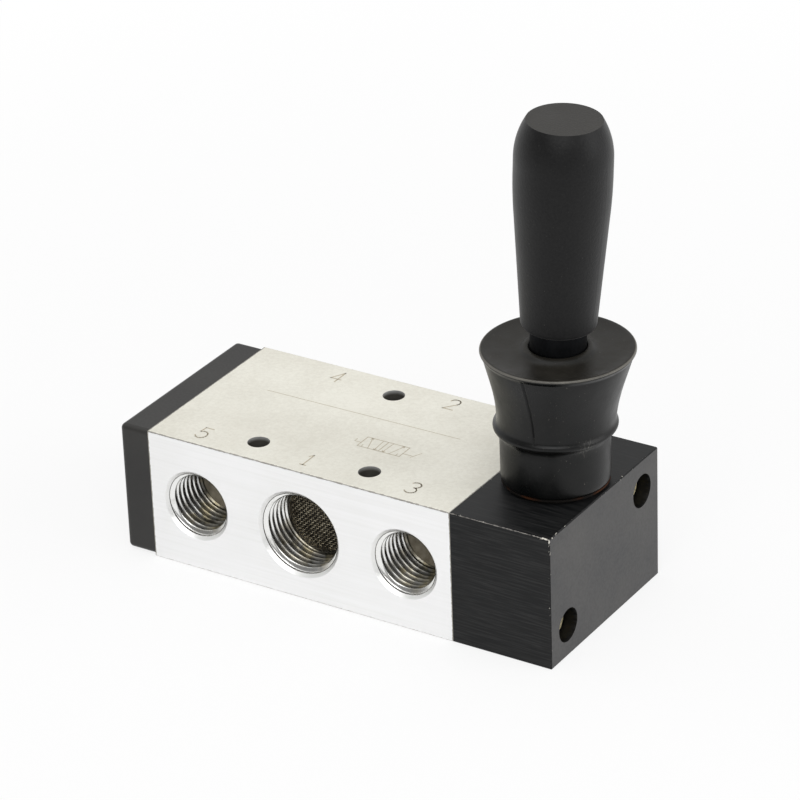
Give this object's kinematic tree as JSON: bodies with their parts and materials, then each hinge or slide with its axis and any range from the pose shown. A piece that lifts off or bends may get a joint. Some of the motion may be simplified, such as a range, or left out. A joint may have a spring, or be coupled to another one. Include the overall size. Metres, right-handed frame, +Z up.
{
  "type": "hand lever air valve",
  "caption": "Air valve block worked by a hand lever: threaded ports on two faces, a sliding spool inside, and a tapered black knob that stands out of a flared rubber boot.",
  "frame": {"origin": "middle of the aluminium body's bottom face, straight under the supply port", "axes": "+X along the spool from the end cover to the lever housing, +Y towards the face with the two work ports, +Z up out of the bottom face"},
  "size_m": [0.0988, 0.04, 0.0995],
  "materials": {
    "bare_aluminium": "bare, finely machined",
    "mesh_steel": "woven wire",
    "ring_steel": "dull",
    "cover_black": "black anodised, satin",
    "screw_zinc": "yellow zinc",
    "seal_rubber": "smooth",
    "housing_black": "black anodised over a brushed face, worn corners",
    "shaft_steel": "ground",
    "bearing_bronze": "sintered",
    "sleeve_black": "black oxide",
    "knob_plastic": "fine matte",
    "insert_brass": "turned",
    "washer_fibre": "pressed fibre",
    "boot_rubber": "moulded, slightly dusty",
    "bush_plastic": "turned acetal",
    "spool_aluminium": "turned and polished"
  },
  "bodies": {
    "block": {"valve_body": "bare_aluminium", "inlet_screen": "mesh_steel", "inlet_screen_ring": "ring_steel", "end_cover": "cover_black", "end_cover_screws": "screw_zinc", "end_cover_seal": "seal_rubber", "lever_housing": "housing_black", "pivot_boss": "housing_black", "housing_screws": "screw_zinc", "housing_seal": "seal_rubber", "pivot_pin": "shaft_steel", "boot_washer": "washer_fibre", "boot": "boot_rubber", "detent_bush": "bush_plastic", "detent_ring": "shaft_steel"},
    "lever": {"lever_shaft": "shaft_steel", "pivot_bush": "bearing_bronze", "lever_sleeve": "sleeve_black", "knob": "knob_plastic", "knob_insert": "insert_brass"},
    "slider": {"spool": "spool_aluminium", "spool_seal_1": "seal_rubber", "spool_seal_2": "seal_rubber", "spool_seal_3": "seal_rubber", "spool_seal_4": "seal_rubber", "spool_seal_5": "seal_rubber", "spool_seal_6": "seal_rubber"}
  },
  "joints": [
    {"name": "lever_swing", "type": "hinge", "parent": "block", "child": "lever", "pos_m": [0.04385, 0, 0.035], "axis": [0, 1, 0], "range_deg": [-9.7, 4.3], "deforming": ["boot"]},
    {"name": "spool_slide", "type": "slide", "parent": "block", "child": "slider", "axis": [1, 0, 0], "range_m": [-0.00162, 0.00365], "deforming": ["detent_ring"]}
  ],
  "couplings": [
    {"joint": "spool_slide", "follows": "lever_swing", "m_per_rad": -0.0215}
  ]
}
